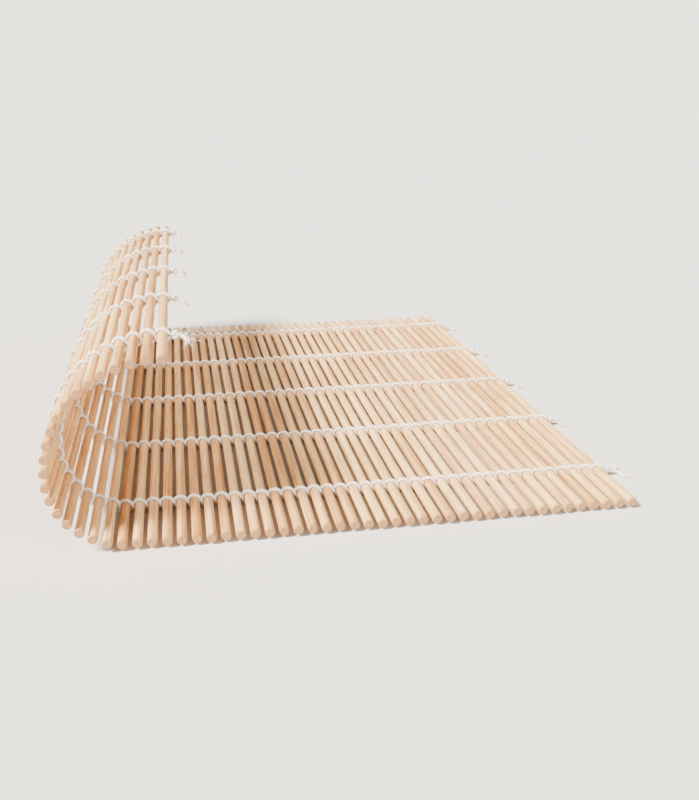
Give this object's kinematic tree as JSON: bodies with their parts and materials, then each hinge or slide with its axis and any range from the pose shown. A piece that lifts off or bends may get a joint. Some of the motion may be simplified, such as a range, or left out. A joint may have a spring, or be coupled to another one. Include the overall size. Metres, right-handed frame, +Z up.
{
  "type": "sushi rolling mat",
  "caption": "Rolling mat of round bamboo slats woven together with rows of cotton string, one edge curled up and over; each pair of slats turns on the next.",
  "frame": {"origin": "on the table, under the middle of the mat's outline at rest", "axes": "+X from the curled edge towards the flat edge, across the slats; +Y along the slats, away from the front; +Z up"},
  "size_m": [0.1844, 0.24, 0.058],
  "materials": {
    "bamboo": "raw, fine long grain",
    "cotton": "twisted undyed string"
  },
  "bodies": {
    "pair_01": {"slat_pair_01": "bamboo", "string_ties_01": "cotton", "knots_curled_edge": "cotton"},
    "pair_02": {"slat_pair_02": "bamboo", "string_ties_02": "cotton"},
    "pair_03": {"slat_pair_03": "bamboo", "string_ties_03": "cotton"},
    "pair_04": {"slat_pair_04": "bamboo", "string_ties_04": "cotton"},
    "pair_05": {"slat_pair_05": "bamboo", "string_ties_05": "cotton"},
    "pair_06": {"slat_pair_06": "bamboo", "string_ties_06": "cotton"},
    "pair_07": {"slat_pair_07": "bamboo", "string_ties_07": "cotton"},
    "pair_08": {"slat_pair_08": "bamboo", "string_ties_08": "cotton"},
    "pair_09": {"slat_pair_09": "bamboo", "string_ties_09": "cotton"},
    "pair_10": {"slat_pair_10": "bamboo", "string_ties_10": "cotton"},
    "pair_11": {"slat_pair_11": "bamboo", "string_ties_11": "cotton"},
    "pair_12": {"slat_pair_12": "bamboo", "string_ties_12": "cotton"},
    "pair_13": {"slat_pair_13": "bamboo", "string_ties_13": "cotton"},
    "pair_14": {"slat_pair_14": "bamboo", "string_ties_14": "cotton"},
    "pair_15": {"slat_pair_15": "bamboo", "string_ties_15": "cotton"},
    "pair_16": {"slat_pair_16": "bamboo", "string_ties_16": "cotton"},
    "pair_17": {"slat_pair_17": "bamboo", "string_ties_17": "cotton"},
    "pair_18": {"slat_pair_18": "bamboo", "string_ties_18": "cotton"},
    "pair_19": {"slat_pair_19": "bamboo", "string_ties_19": "cotton"},
    "pair_20": {"slat_pair_20": "bamboo", "string_ties_20": "cotton"},
    "pair_21": {"slat_pair_21": "bamboo", "string_ties_21": "cotton"},
    "pair_22": {"slat_pair_22": "bamboo", "string_ties_22": "cotton"},
    "pair_23": {"slat_pair_23": "bamboo", "string_ties_23": "cotton"},
    "pair_24": {"slat_pair_24": "bamboo", "string_ties_24": "cotton"},
    "pair_25": {"slat_pair_25": "bamboo", "string_ties_25": "cotton"},
    "pair_26": {"slat_pair_26": "bamboo", "string_ties_26": "cotton"},
    "pair_27": {"slat_pair_27": "bamboo", "string_ties_27": "cotton"},
    "pair_28": {"slat_pair_28": "bamboo", "string_ties_28": "cotton"},
    "pair_29": {"slat_pair_29": "bamboo", "string_ties_29": "cotton", "knots_flat_edge": "cotton"}
  },
  "joints": [
    {"name": "gap_14", "type": "hinge", "parent": "pair_15", "child": "pair_14", "pos_m": [-0.03983, 0, 0.00225], "axis": [0, 1, 0], "range_deg": [0, 23.39]},
    {"name": "gap_13", "type": "hinge", "parent": "pair_14", "child": "pair_13", "pos_m": [-0.04815, 0, 0.00225], "axis": [0, 1, 0], "range_deg": [0, 23.91]},
    {"name": "gap_12", "type": "hinge", "parent": "pair_13", "child": "pair_12", "pos_m": [-0.05647, 0, 0.00225], "axis": [0, 1, 0], "range_deg": [0, 24.47]},
    {"name": "gap_11", "type": "hinge", "parent": "pair_12", "child": "pair_11", "pos_m": [-0.06479, 0, 0.00225], "axis": [0, 1, 0], "range_deg": [0, 25.07]},
    {"name": "gap_10", "type": "hinge", "parent": "pair_11", "child": "pair_10", "pos_m": [-0.07311, 0, 0.00225], "axis": [0, 1, 0], "range_deg": [-22.52, 3.2]},
    {"name": "gap_09", "type": "hinge", "parent": "pair_10", "child": "pair_09", "pos_m": [-0.08079, 0, 0.00544], "axis": [0, 1, 0], "range_deg": [-22.52, 3.9]},
    {"name": "gap_08", "type": "hinge", "parent": "pair_09", "child": "pair_08", "pos_m": [-0.08667, 0, 0.01132], "axis": [0, 1, 0], "range_deg": [-22.52, 4.67]},
    {"name": "gap_07", "type": "hinge", "parent": "pair_08", "child": "pair_07", "pos_m": [-0.08985, 0, 0.01901], "axis": [0, 1, 0], "range_deg": [-22.52, 5.5]},
    {"name": "gap_06", "type": "hinge", "parent": "pair_07", "child": "pair_06", "pos_m": [-0.08984, 0, 0.02733], "axis": [0, 1, 0], "range_deg": [-14.62, 14.32]},
    {"name": "gap_05", "type": "hinge", "parent": "pair_06", "child": "pair_05", "pos_m": [-0.08773, 0, 0.03538], "axis": [0, 1, 0], "range_deg": [-14.62, 15.33]},
    {"name": "gap_04", "type": "hinge", "parent": "pair_05", "child": "pair_04", "pos_m": [-0.08366, 0, 0.04264], "axis": [0, 1, 0], "range_deg": [-14.62, 16.45]},
    {"name": "gap_03", "type": "hinge", "parent": "pair_04", "child": "pair_03", "pos_m": [-0.07788, 0, 0.04863], "axis": [0, 1, 0], "range_deg": [-14.62, 17.71]},
    {"name": "gap_02", "type": "hinge", "parent": "pair_03", "child": "pair_02", "pos_m": [-0.07079, 0, 0.05297], "axis": [0, 1, 0], "range_deg": [-14.62, 19.14]},
    {"name": "gap_01", "type": "hinge", "parent": "pair_02", "child": "pair_01", "pos_m": [-0.06282, 0, 0.05538], "axis": [0, 1, 0], "range_deg": [-14.62, 20.78]},
    {"name": "gap_15", "type": "hinge", "parent": "pair_15", "child": "pair_16", "pos_m": [-0.03151, 0, 0.00225], "axis": [0, -1, 0], "range_deg": [0, 22.89]},
    {"name": "gap_16", "type": "hinge", "parent": "pair_16", "child": "pair_17", "pos_m": [-0.02319, 0, 0.00225], "axis": [0, -1, 0], "range_deg": [0, 22.43]},
    {"name": "gap_17", "type": "hinge", "parent": "pair_17", "child": "pair_18", "pos_m": [-0.01487, 0, 0.00225], "axis": [0, -1, 0], "range_deg": [0, 22]},
    {"name": "gap_18", "type": "hinge", "parent": "pair_18", "child": "pair_19", "pos_m": [-0.00655, 0, 0.00225], "axis": [0, -1, 0], "range_deg": [0, 21.59]},
    {"name": "gap_19", "type": "hinge", "parent": "pair_19", "child": "pair_20", "pos_m": [0.00177, 0, 0.00225], "axis": [0, -1, 0], "range_deg": [0, 21.2]},
    {"name": "gap_20", "type": "hinge", "parent": "pair_20", "child": "pair_21", "pos_m": [0.01009, 0, 0.00225], "axis": [0, -1, 0], "range_deg": [0, 20.83]},
    {"name": "gap_21", "type": "hinge", "parent": "pair_21", "child": "pair_22", "pos_m": [0.01841, 0, 0.00225], "axis": [0, -1, 0], "range_deg": [0, 20.48]},
    {"name": "gap_22", "type": "hinge", "parent": "pair_22", "child": "pair_23", "pos_m": [0.02673, 0, 0.00225], "axis": [0, -1, 0], "range_deg": [0, 20.15]},
    {"name": "gap_23", "type": "hinge", "parent": "pair_23", "child": "pair_24", "pos_m": [0.03505, 0, 0.00225], "axis": [0, -1, 0], "range_deg": [0, 19.84]},
    {"name": "gap_24", "type": "hinge", "parent": "pair_24", "child": "pair_25", "pos_m": [0.04337, 0, 0.00225], "axis": [0, -1, 0], "range_deg": [0, 19.53]},
    {"name": "gap_25", "type": "hinge", "parent": "pair_25", "child": "pair_26", "pos_m": [0.05169, 0, 0.00225], "axis": [0, -1, 0], "range_deg": [0, 19.24]},
    {"name": "gap_26", "type": "hinge", "parent": "pair_26", "child": "pair_27", "pos_m": [0.06001, 0, 0.00225], "axis": [0, -1, 0], "range_deg": [0, 18.97]},
    {"name": "gap_27", "type": "hinge", "parent": "pair_27", "child": "pair_28", "pos_m": [0.06833, 0, 0.00225], "axis": [0, -1, 0], "range_deg": [0, 18.7]},
    {"name": "gap_28", "type": "hinge", "parent": "pair_28", "child": "pair_29", "pos_m": [0.07665, 0, 0.00225], "axis": [0, -1, 0], "range_deg": [0, 18.45]}
  ]
}
